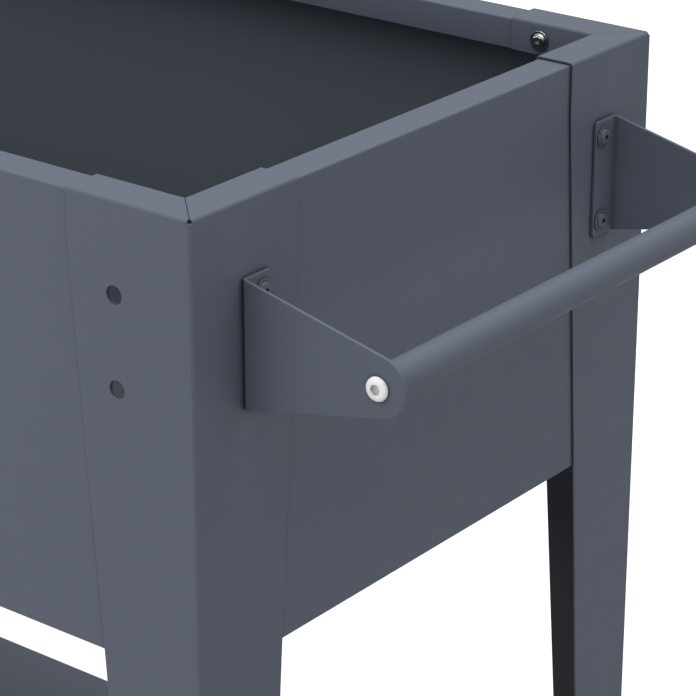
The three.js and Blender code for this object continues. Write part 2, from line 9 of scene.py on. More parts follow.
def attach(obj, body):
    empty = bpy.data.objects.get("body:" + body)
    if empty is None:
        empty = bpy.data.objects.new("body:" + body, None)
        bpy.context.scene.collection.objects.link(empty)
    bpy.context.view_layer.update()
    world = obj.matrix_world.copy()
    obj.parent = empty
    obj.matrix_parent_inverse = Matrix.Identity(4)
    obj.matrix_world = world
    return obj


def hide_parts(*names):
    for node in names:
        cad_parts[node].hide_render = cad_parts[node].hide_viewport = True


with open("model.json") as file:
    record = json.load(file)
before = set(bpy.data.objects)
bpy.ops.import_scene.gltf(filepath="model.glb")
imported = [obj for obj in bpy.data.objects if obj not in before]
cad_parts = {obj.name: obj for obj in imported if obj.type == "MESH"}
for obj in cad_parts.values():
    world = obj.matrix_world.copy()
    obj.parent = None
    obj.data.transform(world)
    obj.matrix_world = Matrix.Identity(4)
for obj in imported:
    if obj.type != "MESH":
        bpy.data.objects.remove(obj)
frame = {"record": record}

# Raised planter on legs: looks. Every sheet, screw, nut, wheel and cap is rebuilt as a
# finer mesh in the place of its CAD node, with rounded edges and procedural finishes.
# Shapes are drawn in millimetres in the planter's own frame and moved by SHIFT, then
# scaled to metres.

scene = bpy.context.scene
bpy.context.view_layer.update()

# ------------------------------------------------------------------ dimensions (mm)
LENGTH, WIDTH, HEIGHT = 1000.0, 400.0, 800.0
LEG_T, PANEL_T, SHELF_T, BRACKET_T = 1.2, 0.8, 1.0, 2.0
BEND_R, PANEL_BEND_R = 2.0, 1.1
NEST, MITRE, DIAG = 1.5, 0.16, 0.3
LEG_ARM, LEG_STRAIGHT, LEG_TAPER = 80.0, 29.0, 0.068
RIM_W, LIP_H, CORNER_NOTCH = 24.4, 19.5, 2.2
FOOT_GAP, WHEEL_LEG_END = 2.2, 52.0
PANEL_RIM_W, PANEL_BOTTOM, PANEL_RETURN = 23.0, 250.0, 16.5
HOLE_IN, HOLE_TOP, HOLE_LOW = 50.0, 49.5, 99.5
OPEN_R, BOLT_R = 5.0, 3.4
LIP_BOLT_IN, LIP_BOLT_DOWN = 60.0, 11.0
SHELF_BOLT_IN, SHELF_BOLT_DOWN = 20.0, 588.0
PAN_TOP, PAN_BOTTOM, PAN_INSET, DRAIN_R = 236.5, 248.8, 3.0, 4.0
BRACE_X = (-170.0, 170.0)
SHELF_TOP, SHELF_EDGE = 575.0, 26.0
BRACKET_Y, BRACKET_FLANGE, BRACKET_MID = 36.0, 21.0, 74.5
BRACKET_HALF, BRACKET_REACH, BRACKET_TIP_R = 35.0, 83.6, 16.0
TUBE_DROP = 0.7
TUBE_R, TUBE_T = 9.5, 1.5
WHEEL_R, WHEEL_W, AXLE_R, AXLE_IN, RIM_R, SPACER_W = 75.0, 34.0, 5.0, 15.0, 58.0, 6.0
SHIFT = -((LENGTH / 2 + BRACKET_REACH + BRACKET_TIP_R) + (-LENGTH / 2 + AXLE_IN - WHEEL_R)) / 2
STEPS = 7          # facets in a bend


# ------------------------------------------------------------------ mesh helpers
def mesh_from(verts, faces):
    me = bpy.data.meshes.new("work")
    me.from_pydata([tuple(v) for v in verts], [], [tuple(f) for f in faces])
    bm = bmesh.new()
    bm.from_mesh(me)
    bmesh.ops.recalc_face_normals(bm, faces=bm.faces)
    bm.to_mesh(me)
    bm.free()
    return me


AXES = {"x": 0, "y": 1, "z": 2}


def prism(points, a, b, lo, hi):
    """An outline in the plane of axes a and b, from lo to hi along the third axis."""
    c = 3 - AXES[a] - AXES[b]
    clean = []
    for p in points:
        if not clean or math.hypot(p[0] - clean[-1][0], p[1] - clean[-1][1]) > 1e-5:
            clean.append(p)
    if math.hypot(clean[0][0] - clean[-1][0], clean[0][1] - clean[-1][1]) < 1e-5:
        clean.pop()
    n = len(clean)
    verts = []
    for h in (lo, hi):
        for p in clean:
            v = [0.0, 0.0, 0.0]
            v[AXES[a]], v[AXES[b]], v[c] = p[0], p[1], h
            verts.append(v)
    faces = [list(range(n))[::-1], list(range(n, 2 * n))]
    faces += [[i, (i + 1) % n, n + (i + 1) % n, n + i] for i in range(n)]
    return mesh_from(verts, faces)


def block(x0, x1, y0, y1, z0, z1):
    return prism([(x0, y0), (x1, y0), (x1, y1), (x0, y1)], "x", "y", z0, z1)


def bar(axis, at, r, lo, hi, sides=40, turn=0.0):
    """A round bar along one axis; at gives its centre line."""
    others = [k for k in "xyz" if k != axis]
    pts = [(at[AXES[others[0]]] + r * math.cos(2 * math.pi * (i + turn) / sides),
            at[AXES[others[1]]] + r * math.sin(2 * math.pi * (i + turn) / sides)) for i in range(sides)]
    return prism(pts, others[0], others[1], lo, hi)


def arc(cx, cy, r, start, end, steps):
    return [(cx + r * math.cos(math.radians(start + (end - start) * k / steps)),
             cy + r * math.sin(math.radians(start + (end - start) * k / steps))) for k in range(steps + 1)]


def folded(path, t, r, steps=STEPS):
    """Outline of a folded sheet: path is the face on the left-hand side, walking along it."""
    face, back = [], []
    n = len(path)

    def unit(p, q):
        dx, dy = q[0] - p[0], q[1] - p[1]
        l = math.hypot(dx, dy)
        return dx / l, dy / l

    for i, p in enumerate(path):
        if i in (0, n - 1):
            d = unit(p, path[1]) if i == 0 else unit(path[n - 2], p)
            face.append((p[0], p[1]))
            back.append((p[0] + d[1] * t, p[1] - d[0] * t))
            continue
        d0, d1 = unit(path[i - 1], p), unit(p, path[i + 1])
        turn = math.atan2(d0[0] * d1[1] - d0[1] * d1[0], d0[0] * d1[0] + d0[1] * d1[1])
        rf, rb, side = (r, r - t, 1) if turn < 0 else (r - t, r, -1)
        cut = rf * math.tan(abs(turn) / 2)
        sx, sy = p[0] - d0[0] * cut, p[1] - d0[1] * cut
        cx, cy = sx + side * d0[1] * rf, sy - side * d0[0] * rf
        for k in range(steps + 1):
            a = turn * k / steps
            vx, vy = -side * d0[1], side * d0[0]
            wx, wy = vx * math.cos(a) - vy * math.sin(a), vx * math.sin(a) + vy * math.cos(a)
            face.append((cx + wx * rf, cy + wy * rf))
            back.append((cx + wx * rb, cy + wy * rb))
    return face + back[::-1]


def joined(meshes):
    """Several closed meshes as one mesh, for one cut."""
    bm = bmesh.new()
    for me in meshes:
        bm.from_mesh(me)
    out = bpy.data.meshes.new("work")
    bm.to_mesh(out)
    bm.free()
    return out


def temp(me):
    o = bpy.data.objects.new("work", me)
    scene.collection.objects.link(o)
    return o


def baked(o):
    """The object's mesh with its modifiers applied; the object goes."""
    bpy.context.view_layer.update()
    dg = bpy.context.evaluated_depsgraph_get()
    me = bpy.data.meshes.new_from_object(o.evaluated_get(dg), preserve_all_data_layers=True, depsgraph=dg)
    bpy.data.objects.remove(o)
    return me


def boolean(me, tool, op):
    a, b = temp(me), temp(tool)
    m = a.modifiers.new("b", "BOOLEAN")
    m.operation = op
    m.object = b
    m.solver = "MANIFOLD"
    out = baked(a)
    bpy.data.objects.remove(b)
    return out


def cut(me, *tools):
    return boolean(me, joined(tools) if len(tools) > 1 else tools[0], "DIFFERENCE")


def union(me, tool):
    return boolean(me, tool, "UNION")


def meet(me, tool):
    return boolean(me, tool, "INTERSECT")


def tidy(me):
    """Merges doubles and flat neighbours, so that only true edges are left."""
    bm = bmesh.new()
    bm.from_mesh(me)
    bmesh.ops.remove_doubles(bm, verts=bm.verts, dist=2e-3)
    bmesh.ops.dissolve_degenerate(bm, edges=bm.edges, dist=1e-3)
    bmesh.ops.dissolve_limit(bm, angle_limit=math.radians(0.6), use_dissolve_boundaries=False,
                             verts=bm.verts, edges=bm.edges)
    bmesh.ops.recalc_face_normals(bm, faces=bm.faces)
    bm.to_mesh(me)
    bm.free()
    return me


def place(me, matrix, scale=0.001):
    """Moves a millimetre mesh into the row frame, in metres."""
    m = Matrix.Diagonal((scale, scale, scale, 1)) @ Matrix.Translation((SHIFT, 0, 0)) @ matrix
    me = me.copy()
    me.transform(m)
    if m.determinant() < 0:
        me.flip_normals()
    me.update()
    return me


def corner(sx, sy):
    """Local corner axes (x along the long side, y along the end) to the planter's frame."""
    return Matrix(((-sx, 0, 0, sx * LENGTH / 2), (0, -sy, 0, sy * WIDTH / 2), (0, 0, 1, 0), (0, 0, 0, 1)))


def finish_mesh(me, bevel, segments=2, angle=38):
    """Rounds the true edges, and weights the normals so that flat faces stay flat."""
    for p in me.polygons:
        p.use_smooth = True
    o = temp(me)
    if bevel:
        b = o.modifiers.new("bevel", "BEVEL")
        b.width = bevel * 0.001
        b.segments = segments
        b.limit_method = "ANGLE"
        b.angle_limit = math.radians(angle)
        b.use_clamp_overlap = False
        b.miter_outer = "MITER_ARC" if segments > 1 else "MITER_SHARP"
    w = o.modifiers.new("normals", "WEIGHTED_NORMAL")
    w.mode = "FACE_AREA"
    w.weight = 50
    w.keep_sharp = True
    return baked(o)


PIECES = {}


def piece(node, me, materials, bevel=0.25, segments=2, angle=38):
    """Puts a finished mesh in the place of a CAD node."""
    me = finish_mesh(me, bevel, segments, angle)
    kinds = [min(p.material_index, len(materials) - 1) for p in me.polygons]
    me.materials.clear()
    for m in materials:
        me.materials.append(m)
    me.polygons.foreach_set("material_index", kinds)
    o = bpy.data.objects.new(node + "_finished", me)
    me.name = node + "_finished"
    scene.collection.objects.link(o)
    body = next(b for b, nodes in frame["record"]["behaviour"]["bodies"].items() if node in nodes)
    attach(o, body)
    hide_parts(node)
    PIECES[node] = o
    return o


def lathe(points, sides, axis="z"):
    """A closed profile of (radius, height) pairs turned about an axis."""
    pts = list(points)
    closed_ring = math.hypot(pts[0][0] - pts[-1][0], pts[0][1] - pts[-1][1]) < 1e-6
    if closed_ring:
        pts.pop()
    verts, rows = [], []
    for r, h in pts:
        if r < 1e-6:
            rows.append([len(verts)])
            verts.append((0.0, 0.0, h))
        else:
            rows.append(list(range(len(verts), len(verts) + sides)))
            verts += [(r * math.cos(2 * math.pi * i / sides), r * math.sin(2 * math.pi * i / sides), h)
                      for i in range(sides)]
    faces = []
    count = len(rows)
    for k in range(count if closed_ring else count - 1):
        a, b = rows[k], rows[(k + 1) % count]
        for i in range(sides):
            j = (i + 1) % sides
            q = [a[i % len(a)], a[j % len(a)], b[j % len(b)], b[i % len(b)]]
            q = [v for n, v in enumerate(q) if v not in q[:n]]
            if len(q) > 2:
                faces.append(q)
    me = mesh_from(verts, faces)
    if axis == "y":
        me.transform(Matrix.Rotation(-math.pi / 2, 4, "X"))
    elif axis == "x":
        me.transform(Matrix.Rotation(math.pi / 2, 4, "Y"))
    return me


# ------------------------------------------------------------------ materials
def material(name):
    m = bpy.data.materials.new(name)
    m.use_nodes = True
    nt = m.node_tree
    nt.nodes.clear()
    out = nt.nodes.new("ShaderNodeOutputMaterial")
    bsdf = nt.nodes.new("ShaderNodeBsdfPrincipled")
    nt.links.new(bsdf.outputs["BSDF"], out.inputs["Surface"])
    return m, nt, bsdf


def noise(nt, co, scale, detail=3.0, rough=0.55, stretch=None):
    n = nt.nodes.new("ShaderNodeTexNoise")
    n.inputs["Scale"].default_value = scale
    n.inputs["Detail"].default_value = detail
    n.inputs["Roughness"].default_value = rough
    if stretch is None:
        nt.links.new(co, n.inputs["Vector"])
    else:
        mp = nt.nodes.new("ShaderNodeMapping")
        mp.inputs["Scale"].default_value = stretch
        nt.links.new(co, mp.inputs["Vector"])
        nt.links.new(mp.outputs["Vector"], n.inputs["Vector"])
    return n.outputs["Fac"]


def spread(nt, value, lo, hi, out_lo, out_hi):
    r = nt.nodes.new("ShaderNodeMapRange")
    r.inputs["From Min"].default_value = lo
    r.inputs["From Max"].default_value = hi
    r.inputs["To Min"].default_value = out_lo
    r.inputs["To Max"].default_value = out_hi
    nt.links.new(value, r.inputs["Value"])
    return r.outputs["Result"]


def blend_colour(nt, fac, a, b):
    m = nt.nodes.new("ShaderNodeMix")
    m.data_type = "RGBA"
    colour_in = [i for i in m.inputs if i.type == "RGBA"]
    colour_in[0].default_value = (*a, 1)
    colour_in[1].default_value = (*b, 1)
    nt.links.new(fac, m.inputs[0])
    return next(o for o in m.outputs if o.type == "RGBA")


def bumped(nt, bsdf, layers):
    """layers: (height, strength, distance in metres), finest last."""
    last = None
    for height, strength, distance in layers:
        b = nt.nodes.new("ShaderNodeBump")
        b.inputs["Strength"].default_value = strength
        b.inputs["Distance"].default_value = distance
        nt.links.new(height, b.inputs["Height"])
        if last is not None:
            nt.links.new(last, b.inputs["Normal"])
        last = b.outputs["Normal"]
    nt.links.new(last, bsdf.inputs["Normal"])


def coords(nt):
    return nt.nodes.new("ShaderNodeTexCoord").outputs["Object"]


def powder_coat(name, base, rough=0.50, specular=0.12, peel=0.16, vary=0.02):
    """Satin powder coat: faint cloudiness, a fine orange peel and tiny specks, raised in the bump and a little
    lighter; painted shade in creases and along laps of sheet.
    """
    m, nt, bsdf = material(name)
    co = coords(nt)
    cloud = noise(nt, co, 5.0, 3.0)
    speck = noise(nt, co, 900.0, 2.0, 0.7)
    lo = tuple(c * (1 - vary) for c in base)
    hi = tuple(c * (1 + vary) for c in base)
    mixed = nt.nodes.new("ShaderNodeMath")
    mixed.operation = "MULTIPLY_ADD"
    nt.links.new(speck, mixed.inputs[0])
    mixed.inputs[1].default_value = 0.35
    nt.links.new(spread(nt, cloud, 0.3, 0.7, 0.0, 0.65), mixed.inputs[2])
    # contact shade: the colour is darkened in creases and along laps of sheet
    crease = nt.nodes.new("ShaderNodeAmbientOcclusion")
    crease.samples = 6
    crease.inputs["Distance"].default_value = 0.014
    shade = nt.nodes.new("ShaderNodeMix")
    shade.data_type = "RGBA"
    shade.blend_type = "MULTIPLY"
    shade.inputs[0].default_value = 1.0
    shade_in = [i for i in shade.inputs if i.type == "RGBA"]
    nt.links.new(blend_colour(nt, mixed.outputs[0], lo, hi), shade_in[0])
    lap = nt.nodes.new("ShaderNodeAmbientOcclusion")
    lap.samples = 8
    lap.inputs["Distance"].default_value = 0.0032
    both = nt.nodes.new("ShaderNodeMath")
    both.operation = "MULTIPLY"
    nt.links.new(spread(nt, crease.outputs["AO"], 0.25, 0.95, 0.80, 1.0), both.inputs[0])
    nt.links.new(spread(nt, lap.outputs["AO"], 0.48, 0.97, 0.58, 1.0), both.inputs[1])
    nt.links.new(blend_colour(nt, both.outputs[0], (0.0, 0.0, 0.0), (1, 1, 1)), shade_in[1])
    nt.links.new(next(o for o in shade.outputs if o.type == "RGBA"), bsdf.inputs["Base Color"])
    nt.links.new(spread(nt, noise(nt, co, 60.0, 4.0), 0.3, 0.7, rough - 0.05, rough + 0.06), bsdf.inputs["Roughness"])
    bsdf.inputs["Metallic"].default_value = 0.0
    bsdf.inputs["Specular IOR Level"].default_value = specular
    bumped(nt, bsdf, [(noise(nt, co, 420.0, 2.0, 0.5), peel, 0.00012), (speck, peel * 0.5, 0.00003)])
    return m


def metal(name, base, rough, metallic=1.0, grain=0.1, lines=None, specular=0.5):
    m, nt, bsdf = material(name)
    co = coords(nt)
    fine = noise(nt, co, 700.0, 3.0, 0.6, lines)
    patch = noise(nt, co, 160.0, 3.0, 0.6)
    nt.links.new(blend_colour(nt, spread(nt, patch, 0.3, 0.7, 0, 1), tuple(c * 0.88 for c in base),
                              tuple(min(1.0, c * 1.06) for c in base)), bsdf.inputs["Base Color"])
    nt.links.new(spread(nt, fine, 0.3, 0.7, max(0.03, rough - grain), rough + grain), bsdf.inputs["Roughness"])
    bsdf.inputs["Metallic"].default_value = metallic
    bsdf.inputs["Specular IOR Level"].default_value = specular
    bumped(nt, bsdf, [(fine, 0.12, 0.00003)])
    return m


def moulded(name, base, rough, grain_scale=1400.0, depth=0.00006, strength=0.25, vary=0.12):
    m, nt, bsdf = material(name)
    co = coords(nt)
    cells = nt.nodes.new("ShaderNodeTexVoronoi")
    cells.inputs["Scale"].default_value = grain_scale
    nt.links.new(co, cells.inputs["Vector"])
    cloud = noise(nt, co, 26.0, 3.0)
    nt.links.new(blend_colour(nt, spread(nt, cloud, 0.3, 0.7, 0, 1), tuple(c * (1 - vary) for c in base),
                              tuple(c * (1 + vary) for c in base)), bsdf.inputs["Base Color"])
    nt.links.new(spread(nt, noise(nt, co, 300.0, 2.0), 0.3, 0.7, rough - 0.07, rough + 0.07), bsdf.inputs["Roughness"])
    bsdf.inputs["Metallic"].default_value = 0.0
    bumped(nt, bsdf, [(cells.outputs["Distance"], strength, depth)])
    return m


SLATE_RGB = (0.1145, 0.1305, 0.1700)
slate = powder_coat("slate_powder_coat", SLATE_RGB)
# floor pan: a much darker copy of the coat, painted shade for the shaded inside of the box
pan_painted_shade = powder_coat("slate_pan_painted_shade", tuple(c * 0.42 for c in SLATE_RGB), rough=0.6)
# shelf: a darker copy of the coat, painted shade for the shade under the box
shelf_painted_shade = powder_coat("slate_shelf_painted_shade", tuple(c * 0.80 for c in SLATE_RGB), rough=0.55)
# inner faces of the legs: a much darker copy of the coat, painted shade
inner_painted_shade = powder_coat("slate_inner_painted_shade", tuple(c * k for c, k in zip(SLATE_RGB, (0.47, 0.44, 0.39))), rough=0.6)
# inside faces of the panels: a slightly lighter, more neutral copy of the coat, painted light
inside_painted_light = powder_coat("slate_inside_painted_light", tuple(c * k for c, k in zip(SLATE_RGB, (1.07, 1.09, 1.0))), rough=0.55)
# cut edges of the legs: a darker copy of the coat, painted shade for the shadow along the laps
edge_painted_shade = powder_coat("slate_edge_painted_shade", tuple(c * 0.85 for c in SLATE_RGB), rough=0.55, specular=0.2)
# screw sockets: a much darker copy of the coat, painted shade in the recess
socket_painted_shade = powder_coat("slate_socket_painted_shade", tuple(c * 0.40 for c in SLATE_RGB), rough=0.6)
fastener = powder_coat("painted_screw", tuple(c * 0.95 for c in SLATE_RGB), rough=0.38, peel=0.08)
black_steel = metal("black_oxide_steel", (0.36, 0.36, 0.37), 0.09, metallic=1.0, grain=0.02)
zinc = metal("bright_zinc", (0.80, 0.81, 0.82), 0.24, metallic=1.0, grain=0.07)
zinc_white = metal("white_zinc_head", (0.97, 0.97, 0.965), 0.30, metallic=0.0, grain=0.06)
# socket of the white head: greyer than the head, painted shade in the recess
zinc_socket_painted_shade = metal("zinc_socket_painted_shade", (0.66, 0.66, 0.67), 0.38, metallic=0.0, grain=0.06)
black_plastic = moulded("moulded_black_plastic", (0.016, 0.017, 0.018), 0.52)
wheel_plastic = moulded("wheel_grey_plastic", (0.026, 0.027, 0.030), 0.44, 1100.0, 0.00005, 0.2)
rubber = moulded("tyre_rubber", (0.0115, 0.0115, 0.012), 0.78, 650.0, 0.00012, 0.3, 0.2)


# ------------------------------------------------------------------ legs
def tagged(me, test):
    """Sets each face's material index from the test; on the legs, the cut edges of the sheet take the second material,
    a darker copy of the coat as painted shade.
    """
    me.update()
    for p in me.polygons:
        p.material_index = int(test(p.normal, p.center))
    return me


def leg_mesh(foot, wheel):
    leg = prism(folded([(LEG_ARM, 0), (0, 0), (0, LEG_ARM)], LEG_T, BEND_R), "x", "y", foot, HEIGHT - BEND_R)
    hook = folded([(0, HEIGHT - 8), (0, HEIGHT), (RIM_W, HEIGHT), (RIM_W, HEIGHT - LIP_H)], LEG_T, BEND_R)
    far = LEG_ARM + 5
    along_x = meet(prism(hook, "y", "z", CORNER_NOTCH, LEG_ARM),
                   prism([(MITRE - 5, -5), (far, -5), (far, far - MITRE)], "x", "y", HEIGHT - 40, HEIGHT + 5))
    along_y = meet(prism(hook, "x", "z", CORNER_NOTCH, LEG_ARM),
                   prism([(-5, MITRE - 5), (far - MITRE, far), (-5, far)], "x", "y", HEIGHT - 40, HEIGHT + 5))
    leg = union(union(leg, along_x), along_y)
    start = HEIGHT - LEG_STRAIGHT
    low = LEG_ARM - LEG_TAPER * (start + 5)
    edge = [(LEG_ARM, start), (low, -5), (LEG_ARM + 10, -5), (LEG_ARM + 10, start)]
    leg = cut(leg, prism(edge, "x", "z", -5, LEG_ARM + 10))
    leg = cut(leg, prism(edge, "y", "z", -5, LEG_ARM + 10))
    tools = []
    for down in (HOLE_TOP, HOLE_LOW):
        tools.append(bar("y", (HOLE_IN, 0, HEIGHT - down), OPEN_R, -1, LEG_T + 1, 48))
        tools.append(bar("x", (0, HOLE_IN, HEIGHT - down), OPEN_R if wheel else BOLT_R, -1, LEG_T + 1, 48))
    tools.append(bar("y", (LIP_BOLT_IN, 0, HEIGHT - LIP_BOLT_DOWN), BOLT_R, RIM_W - 3, RIM_W + 1, 32))
    tools.append(bar("x", (0, LIP_BOLT_IN, HEIGHT - LIP_BOLT_DOWN), BOLT_R, RIM_W - 3, RIM_W + 1, 32))
    tools.append(bar("y", (SHELF_BOLT_IN, 0, HEIGHT - SHELF_BOLT_DOWN), BOLT_R, -1, LEG_T + 1, 32))
    if wheel:
        tools.append(bar("y", (AXLE_IN, 0, WHEEL_R), AXLE_R + 0.3, -1, LEG_T + 1, 40))
    leg = tidy(cut(leg, *tools))

    def edge_face(n, c):
        # index 1: cut edges and undersides of the sheet, darker as painted shade
        if ((n.x > 0.9 and c.x > RIM_W + 2) or (n.y > 0.9 and c.y > RIM_W + 2) or n.z < -0.9
                or (n.x * n.y < -0.3 and abs(n.z) < 0.2 and c.z > HEIGHT - 25)):
            return 1
        # darker on the leg's inner faces: painted shade for the shade under the planter, chosen for tone, not a known
        # property of the coat
        return 2 if (n.x + n.y > 0.5 and c.z < HEIGHT - 60) else 0
    return tagged(leg, edge_face)


for end, sx in (("handle", 1), ("wheel", -1)):
    shape = leg_mesh(WHEEL_LEG_END if end == "wheel" else FOOT_GAP, end == "wheel")
    for side, sy in (("left", -1), ("right", 1)):
        piece(f"leg_{end}_{side}", place(shape, corner(sx, sy)), [slate, edge_painted_shade, inner_painted_shade], 0.22)

# ------------------------------------------------------------------ panels
panel_profile = folded([
    (PANEL_RETURN, HEIGHT - PANEL_BOTTOM), (NEST, HEIGHT - PANEL_BOTTOM), (NEST, HEIGHT - NEST),
    (PANEL_RIM_W, HEIGHT - NEST), (PANEL_RIM_W, HEIGHT - LIP_H)], PANEL_T, PANEL_BEND_R)


def panel_mesh(span, hole_r):
    far = 60
    p = meet(prism(panel_profile, "y", "z", 0, span),
             prism([(DIAG, 0), (span - DIAG, 0), (span - far - DIAG, far), (far + DIAG, far)],
                   "x", "y", HEIGHT - PANEL_BOTTOM - 5, HEIGHT + 5))
    tools = []
    for x in (HOLE_IN, span - HOLE_IN):
        for down in (HOLE_TOP, HOLE_LOW):
            tools.append(bar("y", (x, 0, HEIGHT - down), hole_r, 0, 4, 48))
    for x in (LIP_BOLT_IN, span - LIP_BOLT_IN):
        tools.append(bar("y", (x, 0, HEIGHT - LIP_BOLT_DOWN), BOLT_R, 21, 24, 32))
    # inside of the box, behind the lip: a little lighter and more neutral, painted light chosen for tone
    return tagged(tidy(cut(p, *tools)), lambda n, c: 1 if n.y > 0.9 and c.z < HEIGHT - 25 and c.y < 4 else 0)


side_mesh = panel_mesh(LENGTH, OPEN_R)
piece("side_panel_left", place(side_mesh, Matrix(((1, 0, 0, -LENGTH / 2), (0, 1, 0, -WIDTH / 2), (0, 0, 1, 0), (0, 0, 0, 1)))),
      [slate, inside_painted_light], 0.18)
piece("side_panel_right", place(side_mesh, Matrix(((1, 0, 0, -LENGTH / 2), (0, -1, 0, WIDTH / 2), (0, 0, 1, 0), (0, 0, 0, 1)))),
      [slate, inside_painted_light], 0.18)
piece("end_panel_handle", place(panel_mesh(WIDTH, BOLT_R),
      Matrix(((0, -1, 0, LENGTH / 2), (1, 0, 0, -WIDTH / 2), (0, 0, 1, 0), (0, 0, 0, 1)))),
      [slate, inside_painted_light], 0.18)
piece("end_panel_wheel", place(panel_mesh(WIDTH, OPEN_R),
      Matrix(((0, 1, 0, -LENGTH / 2), (1, 0, 0, -WIDTH / 2), (0, 0, 1, 0), (0, 0, 0, 1)))),
      [slate, inside_painted_light], 0.18)


# ------------------------------------------------------------------ pan, braces, shelf
def tray_mesh(x0, x1, y0, y1, top, low, t, r, relief):
    def shell(o):
        rr, tt, ll = r - o, top - o, low - (5 if o else 0)

        def cap(a, b):
            return ([(a + o, ll)] + arc(a + o + rr, tt - rr, rr, 180, 90, STEPS)
                    + arc(b - o - rr, tt - rr, rr, 90, 0, STEPS) + [(b - o, ll)])
        return meet(prism(cap(x0, x1), "x", "z", y0 + o, y1 - o), prism(cap(y0, y1), "y", "z", x0 + o, x1 - o))

    tray = cut(shell(0), shell(t))
    return cut(tray, *[block(cx - relief, cx + relief, cy - relief, cy + relief, low - 1, top + 1)
                       for cx in (x0, x1) for cy in (y0, y1)])


here = Matrix.Identity(4)
px, py = LENGTH / 2 - PAN_INSET, WIDTH / 2 - PAN_INSET
pan = tray_mesh(-px, px, -py, py, HEIGHT - PAN_TOP, HEIGHT - PAN_BOTTOM, PANEL_T, PANEL_BEND_R, 4)
pan = cut(pan, *[bar("z", (x, y, 0), DRAIN_R, HEIGHT - PAN_TOP - 3, HEIGHT - PAN_TOP + 2, 32)
                 for x in (-390, -234, -78, 78, 234, 390) for y in (-95, 95)])
piece("floor_pan", place(tidy(pan), here), [pan_painted_shade], 0.18)

for i, bx in enumerate(BRACE_X):
    z, low = HEIGHT - PAN_TOP - PANEL_T - 0.3, HEIGHT - PANEL_BOTTOM + 1.2
    hat = folded([(bx + x, h) for x, h in ((-27, z), (-15, z), (-13, low), (13, low), (15, z), (27, z))], LEG_T, BEND_R, 5)
    piece(f"floor_brace_{i + 1}", place(tidy(prism(hat, "x", "z", -WIDTH / 2 + 18, WIDTH / 2 - 18)), here),
          [slate], 0.22)

hx, hy = LENGTH / 2 - NEST, WIDTH / 2 - NEST
shelf = tray_mesh(-hx, hx, -hy, hy, HEIGHT - SHELF_TOP, HEIGHT - SHELF_TOP - SHELF_EDGE, SHELF_T, BEND_R, 3)
shelf = cut(shelf, *[bar("y", (sx * (LENGTH / 2 - SHELF_BOLT_IN), 0, HEIGHT - SHELF_BOLT_DOWN), BOLT_R,
                         sy * hy - 4, sy * hy + 4, 32) for sx in (-1, 1) for sy in (-1, 1)])
piece("shelf", place(tidy(shelf), here), [shelf_painted_shade], 0.22)


# ------------------------------------------------------------------ handle
def bracket_mesh():
    gap, mid = 0.15, HEIGHT - BRACKET_MID
    reach = BRACKET_REACH + BRACKET_TIP_R + 2
    fold = folded([(reach, BRACKET_Y), (gap, BRACKET_Y), (gap, BRACKET_Y + BRACKET_FLANGE)], BRACKET_T, 2.4, 8)
    b = prism(fold, "x", "y", mid - BRACKET_HALF - 1, mid + BRACKET_HALF + 1)
    d = math.hypot(BRACKET_REACH, BRACKET_HALF)
    touch = math.degrees(math.atan2(BRACKET_HALF, -BRACKET_REACH)) - math.degrees(math.acos(BRACKET_TIP_R / d))
    web = [(-1, mid - BRACKET_HALF)] + arc(BRACKET_REACH, mid, BRACKET_TIP_R, -touch, touch, 40) + [(-1, mid + BRACKET_HALF)]
    b = meet(b, prism(web, "x", "z", BRACKET_Y - 1, BRACKET_Y + BRACKET_FLANGE + 1))
    r, y1 = 3.6, BRACKET_Y + BRACKET_FLANGE
    flange = ([(BRACKET_Y - 1, mid - BRACKET_HALF)] + arc(y1 - r, mid - BRACKET_HALF + r, r, -90, 0, 12)
              + arc(y1 - r, mid + BRACKET_HALF - r, r, 0, 90, 12) + [(BRACKET_Y - 1, mid + BRACKET_HALF)])
    b = meet(b, prism(flange, "y", "z", -1, reach + 1))
    return tidy(cut(b, bar("x", (0, HOLE_IN, HEIGHT - HOLE_TOP), BOLT_R, -1, 4, 32),
                    bar("x", (0, HOLE_IN, HEIGHT - HOLE_LOW), BOLT_R, -1, 4, 32),
                    bar("y", (BRACKET_REACH, 0, mid - TUBE_DROP), BOLT_R, BRACKET_Y - 1, BRACKET_Y + 3, 32)))


bracket = bracket_mesh()
piece("handle_bracket_left", place(bracket, Matrix(((1, 0, 0, LENGTH / 2), (0, 1, 0, -WIDTH / 2), (0, 0, 1, 0), (0, 0, 0, 1)))),
      [slate], 0.35, 3)
piece("handle_bracket_right", place(bracket, Matrix(((1, 0, 0, LENGTH / 2), (0, -1, 0, WIDTH / 2), (0, 0, 1, 0), (0, 0, 0, 1)))),
      [slate], 0.35, 3)

tube_half = WIDTH / 2 - BRACKET_Y - BRACKET_T - 0.2
hand_x, hand_z = LENGTH / 2 + BRACKET_REACH, HEIGHT - BRACKET_MID - TUBE_DROP
ri, w = TUBE_R - TUBE_T, tube_half
tube = lathe([(ri, -w + 0.3), (ri + 0.3, -w), (TUBE_R - 0.6, -w), (TUBE_R - 0.18, -w + 0.18), (TUBE_R, -w + 0.6),
              (TUBE_R, w - 0.6), (TUBE_R - 0.18, w - 0.18), (TUBE_R - 0.6, w), (ri + 0.3, w), (ri, w - 0.3), (ri, -w + 0.3)],
             72, "y")
piece("handle_tube", place(tube, Matrix.Translation((hand_x, 0, hand_z))), [slate], 0)


# ------------------------------------------------------------------ fasteners
def head_on(axis, sign):
    """Turns +z to a direction: the head side of a screw or nut."""
    if axis == "x":
        return Matrix.Rotation(math.pi / 2 * sign, 4, "Y")
    return Matrix.Rotation(-math.pi / 2 * sign, 4, "X")


